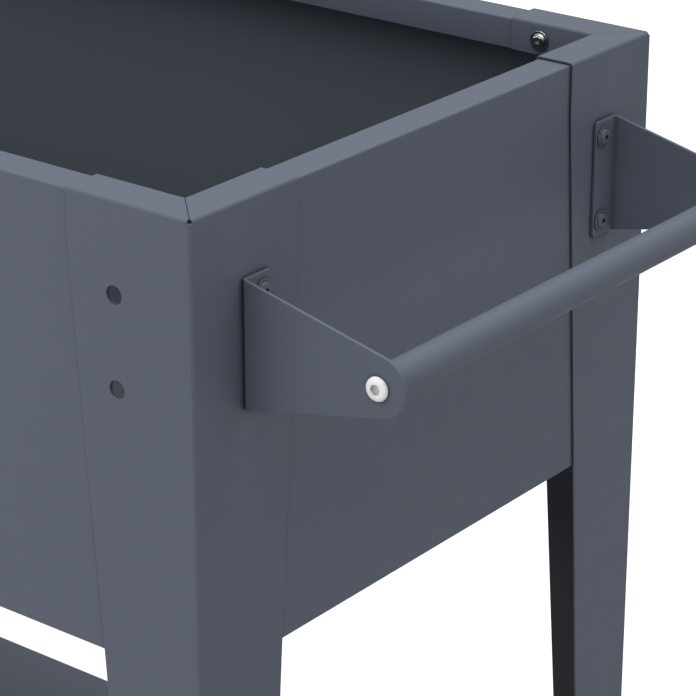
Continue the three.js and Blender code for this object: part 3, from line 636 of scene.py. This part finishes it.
def screw_mesh(length, kind):
    """Seat at z = 0, head above. A thread-like shank of shallow rings below."""
    if kind == "button":
        head = ([(6.00, 0.0), (6.22, 0.10), (6.3, 0.3), (6.3, 0.62), (6.18, 0.86)]
                + [(3.35 + 2.8 * math.cos(math.radians(a)), 0.95 + 1.55 * math.sin(math.radians(a))) for a in range(8, 90, 9)]
                + [(3.2, 2.5)])
        top, hex_r, hex_d = 2.5, 3.05, 2.0
    else:
        head = [(5.85, 0.0), (6.03, 0.1), (6.1, 0.26), (6.1, 0.60), (6.0, 0.76), (5.75, 0.84), (4.95, 0.86), (4.72, 0.76),
                (4.52, 0.78), (4.42, 0.95), (4.36, 1.35), (4.2, 1.75), (3.9, 2.08), (3.45, 2.3), (2.9, 2.44), (2.3, 2.5)]
        top, hex_r, hex_d = 2.5, 1.45, 1.6
    shank = [(0.0, -length), (2.45, -length)]
    h = -length + 0.6
    while h < -1.6:
        shank += [(3.0, h), (2.62, h + 0.5)]
        h += 1.0
    shank += [(3.0, -1.2), (3.0, 0.0)]
    body = lathe(shank + head + [(0.0, top)], 56)
    hexagon = bar("z", (0, 0, 0), hex_r, top - hex_d, 4.5, 6)
    # faces of the socket take the second material, which on painted and white heads is darker: painted shade in the
    # recess
    return tagged(tidy(cut(body, hexagon)), lambda n, c: 1 if 0 < c.z < 2.42 and math.hypot(c.x, c.y) < hex_r + 0.02 else 0)


def nut_mesh():
    body = bar("z", (0, 0, 0), 5.75, 0.3, 5.2, 6)
    cone = lathe([(0, 0), (6.25, 0), (6.5, 0.25), (6.5, 0.75), (6.3, 0.98), (5.75, 1.1), (5.75, 4.6), (5.1, 5.2), (0, 5.2)], 48)
    skirt = lathe([(0, 0), (6.25, 0), (6.5, 0.25), (6.5, 0.75), (6.3, 0.98), (5.2, 1.2), (0, 1.2)], 48)
    return tidy(cut(union(meet(body, cone), skirt), lathe([(0, -1), (4.0, -1), (3.4, 0.4), (3.4, 4.7), (4.0, 5.6), (4.0, 6), (0, 6)], 32)))


screws = {("flanged", 14): screw_mesh(14, "flanged"), ("flanged", 9): screw_mesh(9, "flanged"),
          ("flanged", 12): screw_mesh(12, "flanged"), ("button", 20): screw_mesh(20, "button")}
nut = nut_mesh()


def screw(node, kind, length, at, axis, sign, mats, spin=0.0):
    m = Matrix.Translation(at) @ head_on(axis, sign) @ Matrix.Rotation(math.radians(spin), 4, "Z")
    return piece(node, place(screws[(kind, length)], m), mats, 0.12, 2, 50)


def nut_at(node, at, axis, sign, spin=0.0):
    m = Matrix.Translation(at) @ head_on(axis, sign) @ Matrix.Rotation(math.radians(spin), 4, "Z")
    return piece(node, place(nut, m), [zinc], 0.12, 2, 50)


SIDES = (("left", -1), ("right", 1))
spin = 7.0
for side, sy in SIDES:
    screw(f"handle_screw_{side}", "button", 20, (hand_x, sy * (w + 0.2 + BRACKET_T + 0.15), hand_z), "y", sy, [zinc_white, zinc_socket_painted_shade], 12)
    outer = TUBE_R - TUBE_T - 0.3
    plug = lathe([(3.6, 0), (outer - 0.5, 0), (outer, 0.5), (outer, 4), (outer - 0.25, 4.2), (outer - 0.25, 20), (outer - 1, 22),
                  (3.6, 22), (3.4, 21.6), (3.4, 0.2), (3.6, 0)], 40, "y")
    turn = Matrix.Rotation(math.pi if sy > 0 else 0, 4, "Z")
    piece(f"handle_insert_{side}", place(plug, Matrix.Translation((hand_x, sy * (w - 0.4), hand_z)) @ turn), [zinc], 0)
    for level, down in (("upper", HOLE_TOP), ("lower", HOLE_LOW)):
        y, z = sy * (WIDTH / 2 - HOLE_IN), HEIGHT - down
        spin += 23
        screw(f"bracket_screw_{side}_{level}", "flanged", 14, (LENGTH / 2 + 0.3 + BRACKET_T, y, z), "x", 1, [fastener, socket_painted_shade], spin)
        nut_at(f"bracket_nut_{side}_{level}", (LENGTH / 2 - NEST - PANEL_T - 0.15, y, z), "x", -1, spin)

for end, sx in (("handle", 1), ("wheel", -1)):
    for side, sy in SIDES:
        z = HEIGHT - LIP_BOLT_DOWN
        spin += 17
        x = sx * (LENGTH / 2 - LIP_BOLT_IN)
        screw(f"lip_screw_side_{end}_{side}", "flanged", 9, (x, sy * (WIDTH / 2 - RIM_W - 0.15), z), "y", -sy, [black_steel, black_steel], spin)
        nut_at(f"lip_nut_side_{end}_{side}", (x, sy * (WIDTH / 2 - PANEL_RIM_W + PANEL_T + 0.15), z), "y", sy, spin)
        y = sy * (WIDTH / 2 - LIP_BOLT_IN)
        screw(f"lip_screw_end_{end}_{side}", "flanged", 9, (sx * (LENGTH / 2 - RIM_W - 0.15), y, z), "x", -sx, [black_steel, black_steel], spin + 11)
        nut_at(f"lip_nut_end_{end}_{side}", (sx * (LENGTH / 2 - PANEL_RIM_W + PANEL_T + 0.15), y, z), "x", sx, spin + 11)
        screw(f"shelf_screw_{end}_{side}", "flanged", 12,
              (sx * (LENGTH / 2 - SHELF_BOLT_IN), sy * (WIDTH / 2 + 0.15), HEIGHT - SHELF_BOLT_DOWN), "y", sy, [fastener, socket_painted_shade], spin + 5)


# ------------------------------------------------------------------ foot caps
def foot_mesh():
    h, wall = 24.0, 1.8
    arm = LEG_ARM - LEG_TAPER * (HEIGHT - LEG_STRAIGHT) + 3.4
    outer = folded([(arm, -wall), (-wall, -wall), (-wall, arm)], LEG_T + 2 * wall, BEND_R + wall, 8)
    slot = folded([(arm - 1.6, -0.3), (-0.3, -0.3), (-0.3, arm - 1.6)], LEG_T + 0.6, BEND_R + 0.3, 6)
    body = cut(prism(outer, "x", "y", 0, h), prism(slot, "x", "y", FOOT_GAP - 0.3, h + 1))
    # Grip grooves round the outside of the shoe
    grooves = []
    for k in range(3):
        z = 5.0 + 5.0 * k
        grooves.append(prism([(-3, z), (-wall + 0.45, z + 0.2), (-wall + 0.45, z + 1.2), (-3, z + 1.4)], "y", "z", 4, arm - 4))
        grooves.append(prism([(-3, z), (-wall + 0.45, z + 0.2), (-wall + 0.45, z + 1.2), (-3, z + 1.4)], "x", "z", 4, arm - 4))
    return tidy(cut(body, *grooves))


cap = foot_mesh()
for side, sy in SIDES:
    piece(f"foot_cap_{side}", place(cap, corner(1, sy)), [black_plastic], 0.3)

# ------------------------------------------------------------------ axle and wheels
axle_x = -LENGTH / 2 + AXLE_IN
hub_start = WIDTH / 2 + 0.25 + SPACER_W + 0.4
hub_end = hub_start + WHEEL_W
axle_half = hub_end + 4.2
piece("axle", place(lathe([(0, -axle_half), (AXLE_R - 0.7, -axle_half), (AXLE_R - 0.05, -axle_half + 0.6), (AXLE_R, -axle_half + 1.0),
                           (AXLE_R, axle_half - 1.0), (AXLE_R - 0.05, axle_half - 0.6), (AXLE_R - 0.7, axle_half), (0, axle_half)], 48, "y"),
                    Matrix.Translation((axle_x, 0, WHEEL_R))), [zinc], 0)

th = WHEEL_W / 2


def hub_mesh():
    bore = AXLE_R + 0.12
    prof = [(bore, -th + 0.4), (bore + 0.4, -th), (12.2, -th), (13.0, -th + 0.6), (13.9, -4.6), (14.6, -3.7), (16, -3.5),
            (RIM_R - 9, -3.5), (RIM_R - 7.4, -3.9), (RIM_R - 6.8, -5.2), (RIM_R - 5.6, -th + 2.6), (RIM_R - 4.9, -th + 2),
            (RIM_R - 0.8, -th + 2), (RIM_R, -th + 2.7)]
    full = prof + [(r, -h) for r, h in reversed(prof)] + [prof[0]]
    hub = lathe(full, 90)
    windows = []
    for k in range(5):
        a = 90 + 72 * k
        pts = []
        # a rounded window between two spokes
        inner, outer_r = 20.0, RIM_R - 11.5
        half_i, half_o = 22.0, 28.0
        raw = arc(0, 0, inner, a - half_i, a + half_i, 10) + arc(0, 0, outer_r, a + half_o, a - half_o, 18)
        # round the four corners by trimming them
        n = len(raw)
        corners = {0, 10, 11, n - 1}
        for i, p in enumerate(raw):
            if i in corners:
                q0, q1 = raw[(i - 1) % n], raw[(i + 1) % n]
                d0 = Vector((q0[0] - p[0], q0[1] - p[1]))
                d1 = Vector((q1[0] - p[0], q1[1] - p[1]))
                c0 = Vector(p) + d0.normalized() * min(2.4, d0.length * 0.9)
                c1 = Vector(p) + d1.normalized() * min(2.4, d1.length * 0.9)
                for t in (0.0, 0.25, 0.5, 0.75, 1.0):
                    s = (1 - t) ** 2 * c0 + 2 * t * (1 - t) * Vector(p) + t * t * c1
                    pts.append((s.x, s.y))
            else:
                pts.append(p)
        windows.append(prism(pts, "x", "y", -9, 9))
    hub = tidy(cut(hub, *windows))
    return hub


def tyre_mesh():
    """A moulded tyre: two ribs of blocks with grooves between, on a rounded crown."""
    sides = 180
    base = [(RIM_R + 0.3, -th + 2.2), (RIM_R + 0.9, -th + 0.9), (RIM_R + 2.2, -th), (RIM_R + 4.5, -th), (RIM_R + 5.2, -th + 0.35),
            (RIM_R + 6.0, -th), (WHEEL_R - 7, -th + 0.1), (WHEEL_R - 4.6, -th + 1.1), (WHEEL_R - 2.6, -th + 2.9), (WHEEL_R - 1.2, -th + 5.4),
            (WHEEL_R - 0.5, -th + 8.0), (WHEEL_R - 0.2, -th + 10.4),
            (WHEEL_R - 0.05, -3.2), (WHEEL_R - 1.5, -2.5), (WHEEL_R - 1.5, -1.6), (WHEEL_R, -1.0)]
    prof = base + [(r, -h) for r, h in reversed(base)]
    me_verts, rows = [], []
    for r, h in prof:
        row = []
        for i in range(sides):
            rr = r
            block_cut = (i % 6 == 0 or i % 6 == 1)
            shoulder = 4.5 < abs(h) < th - 3.5
            if shoulder and r > WHEEL_R - 4 and (i + (3 if h > 0 else 0)) % 6 in (0, 1):
                rr = r - 1.4
            a = 2 * math.pi * i / sides
            row.append(len(me_verts))
            me_verts.append((rr * math.cos(a), rr * math.sin(a), h))
        rows.append(row)
    faces = []
    for k in range(len(rows)):
        a, b = rows[k], rows[(k + 1) % len(rows)]
        for i in range(sides):
            j = (i + 1) % sides
            faces.append((a[i], a[j], b[j], b[i]))
    return mesh_from(me_verts, faces)


hub_shape, tyre_shape = hub_mesh(), tyre_mesh()
spacer_shape = lathe([(AXLE_R + 0.3, 0.2), (AXLE_R + 0.5, 0), (8.7, 0), (9.0, 0.3), (8.9, 2.0), (8.5, 2.4), (8.5, 3.4), (8.8, 3.8), (8.45, SPACER_W - 0.3),
                      (8.1, SPACER_W), (AXLE_R + 0.5, SPACER_W), (AXLE_R + 0.3, SPACER_W - 0.2), (AXLE_R + 0.3, 0.2)], 48)
cap_shape = lathe([(0, 4.4), (AXLE_R + 0.3, 4.4), (AXLE_R + 0.3, 0.2), (AXLE_R + 0.6, 0), (9.1, 0), (9.45, 0.35), (9.5, 0.8), (9.5, 2.9),
                   (9.35, 3.5), (9.0, 4.2), (8.3, 5.4), (7.2, 6.4), (5.6, 7.2), (3.6, 7.65), (1.8, 7.8), (0, 7.8)], 56)
for side, sy in SIDES:
    to_y = Matrix.Rotation(math.pi / 2, 4, "X") if sy < 0 else Matrix.Rotation(-math.pi / 2, 4, "X")
    centre = Matrix.Translation((axle_x, sy * (hub_start + hub_end) / 2, WHEEL_R)) @ to_y
    piece(f"wheel_hub_{side}", place(hub_shape, centre), [wheel_plastic], 0.35, 2, 42)
    piece(f"tyre_{side}", place(tyre_shape, centre), [rubber], 0.0)
    piece(f"axle_spacer_{side}", place(spacer_shape, Matrix.Translation((axle_x, sy * (WIDTH / 2 + 0.25), WHEEL_R)) @ to_y),
          [black_plastic], 0)
    piece(f"axle_cap_{side}", place(cap_shape, Matrix.Translation((axle_x, sy * (hub_end + 0.5), WHEEL_R)) @ to_y),
          [black_plastic], 0)

# ------------------------------------------------------------------ studio
mm = 0.001
near_corner = Vector(((LENGTH / 2 + SHIFT) * mm, -WIDTH / 2 * mm, HEIGHT * mm))
eye = near_corner + Vector((0.82052, -0.92718, 0.45218))
right = Vector((0.787045, 0.616896, 0.000214))
up = Vector((-0.237975, 0.303291, 0.922704))
back = right.cross(up).normalized()
cam_data = bpy.data.cameras.new("camera")
cam_data.sensor_width = 36.0
cam_data.sensor_fit = "HORIZONTAL"
cam_data.lens = 2816.97 / 696.0 * 36.0
cam_data.clip_start = 0.01
cam_data.clip_end = 200
camera = bpy.data.objects.new("camera", cam_data)
rot = Matrix((right, up, back)).transposed().to_4x4()
camera.matrix_world = Matrix.Translation(eye) @ rot
scene.collection.objects.link(camera)
scene.camera = camera

floor_me = bpy.data.meshes.new("studio_floor")
s = 60.0
floor_me.from_pydata([(-s, -s, 0), (s, -s, 0), (s, s, 0), (-s, s, 0)], [], [(0, 1, 2, 3)])
floor = bpy.data.objects.new("studio_floor", floor_me)
scene.collection.objects.link(floor)
fm, fnt, fb = material("studio_floor_paint")
fco = coords(fnt)
fnt.links.new(blend_colour(fnt, noise(fnt, fco, 1.5, 4.0), (0.80, 0.80, 0.80), (0.84, 0.84, 0.84)), fb.inputs["Base Color"])
fb.inputs["Roughness"].default_value = 0.9
fb.inputs["Specular IOR Level"].default_value = 0.0
fb.inputs["Emission Color"].default_value = (1, 1, 1, 1)
fb.inputs["Emission Strength"].default_value = 0.22
f_out = next(n for n in fnt.nodes if n.type == "OUTPUT_MATERIAL")
f_low = fnt.nodes.new("ShaderNodeBsdfDiffuse")
f_low.inputs["Color"].default_value = (0.46, 0.46, 0.455, 1)
f_path = fnt.nodes.new("ShaderNodeLightPath")
f_mix = fnt.nodes.new("ShaderNodeMixShader")
fnt.links.new(f_path.outputs["Is Camera Ray"], f_mix.inputs[0])
fnt.links.new(f_low.outputs[0], f_mix.inputs[1])
fnt.links.new(fb.outputs[0], f_mix.inputs[2])
# clear from underneath, so that the underside of the planter can be seen through the floor
f_geo = fnt.nodes.new("ShaderNodeNewGeometry")
f_clear = fnt.nodes.new("ShaderNodeBsdfTransparent")
f_side = fnt.nodes.new("ShaderNodeMixShader")
fnt.links.new(f_geo.outputs["Backfacing"], f_side.inputs[0])
fnt.links.new(f_mix.outputs[0], f_side.inputs[1])
fnt.links.new(f_clear.outputs[0], f_side.inputs[2])
fnt.links.new(f_side.outputs[0], f_out.inputs["Surface"])
floor_me.materials.append(fm)

world = bpy.data.worlds.new("studio")
world.use_nodes = True
wn = world.node_tree
wn.nodes.clear()
w_out = wn.nodes.new("ShaderNodeOutputWorld")
w_bg = wn.nodes.new("ShaderNodeBackground")
w_bg.inputs["Color"].default_value = (1, 1, 1, 1)
w_co = wn.nodes.new("ShaderNodeTexCoord")
w_xyz = wn.nodes.new("ShaderNodeSeparateXYZ")
w_ramp = wn.nodes.new("ShaderNodeMapRange")
w_ramp.inputs["From Min"].default_value = 0.0
w_ramp.inputs["From Max"].default_value = 1.0
w_ramp.inputs["To Min"].default_value = 0.17
w_ramp.inputs["To Max"].default_value = 2.40
w_up = wn.nodes.new("ShaderNodeMath")
w_up.operation = "MAXIMUM"
w_up.inputs[1].default_value = 0.0
w_sq = wn.nodes.new("ShaderNodeMath")
w_sq.operation = "MULTIPLY"
wn.links.new(w_co.outputs["Generated"], w_xyz.inputs[0])
wn.links.new(w_xyz.outputs["Z"], w_up.inputs[0])
wn.links.new(w_up.outputs[0], w_sq.inputs[0])
wn.links.new(w_up.outputs[0], w_sq.inputs[1])
wn.links.new(w_sq.outputs[0], w_ramp.inputs["Value"])
wn.links.new(w_ramp.outputs["Result"], w_bg.inputs["Strength"])
# the backdrop itself is plain white; the graded sky only lights the object
w_white = wn.nodes.new("ShaderNodeBackground")
w_white.inputs["Color"].default_value = (1, 1, 1, 1)
w_white.inputs["Strength"].default_value = 1.0
w_path = wn.nodes.new("ShaderNodeLightPath")
w_mix = wn.nodes.new("ShaderNodeMixShader")
wn.links.new(w_path.outputs["Is Camera Ray"], w_mix.inputs[0])
wn.links.new(w_bg.outputs[0], w_mix.inputs[1])
wn.links.new(w_white.outputs[0], w_mix.inputs[2])
wn.links.new(w_mix.outputs[0], w_out.inputs["Surface"])
scene.world = world


def aim(o, at, target):
    o.location = at
    o.rotation_euler = (Vector(target) - Vector(at)).to_track_quat("-Z", "Y").to_euler()


front = bpy.data.lights.new("front_softbox", "AREA")
front.shape = "RECTANGLE"
front.size = 1.9
front.size_y = 0.07
front.energy = 6.4
front_o = bpy.data.objects.new("front_softbox", front)
aim(front_o, (-0.65, -1.1, 0.825), (-0.05, -0.2, 0.7))
front_o.visible_camera = False
scene.collection.objects.link(front_o)

# a ceiling softbox that only shows in gloss, for the crescents on the metal heads
ceiling = bpy.data.lights.new("ceiling_softbox", "AREA")
ceiling.shape = "RECTANGLE"
ceiling.size = 1.5
ceiling.size_y = 1.3
ceiling.energy = 26.0
ceiling_o = bpy.data.objects.new("ceiling_softbox", ceiling)
aim(ceiling_o, (0.65, 0.1, 2.3), (0.35, 0.1, 0.8))
ceiling_o.visible_camera = False
ceiling_o.visible_diffuse = False
scene.collection.objects.link(ceiling_o)

scene.view_settings.view_transform = "Standard"
scene.view_settings.look = "None"
scene.view_settings.exposure = 0.0
scene.view_settings.gamma = 1.0
scene.cycles.use_denoising = True
scene.cycles.max_bounces = 8
scene.cycles.diffuse_bounces = 5
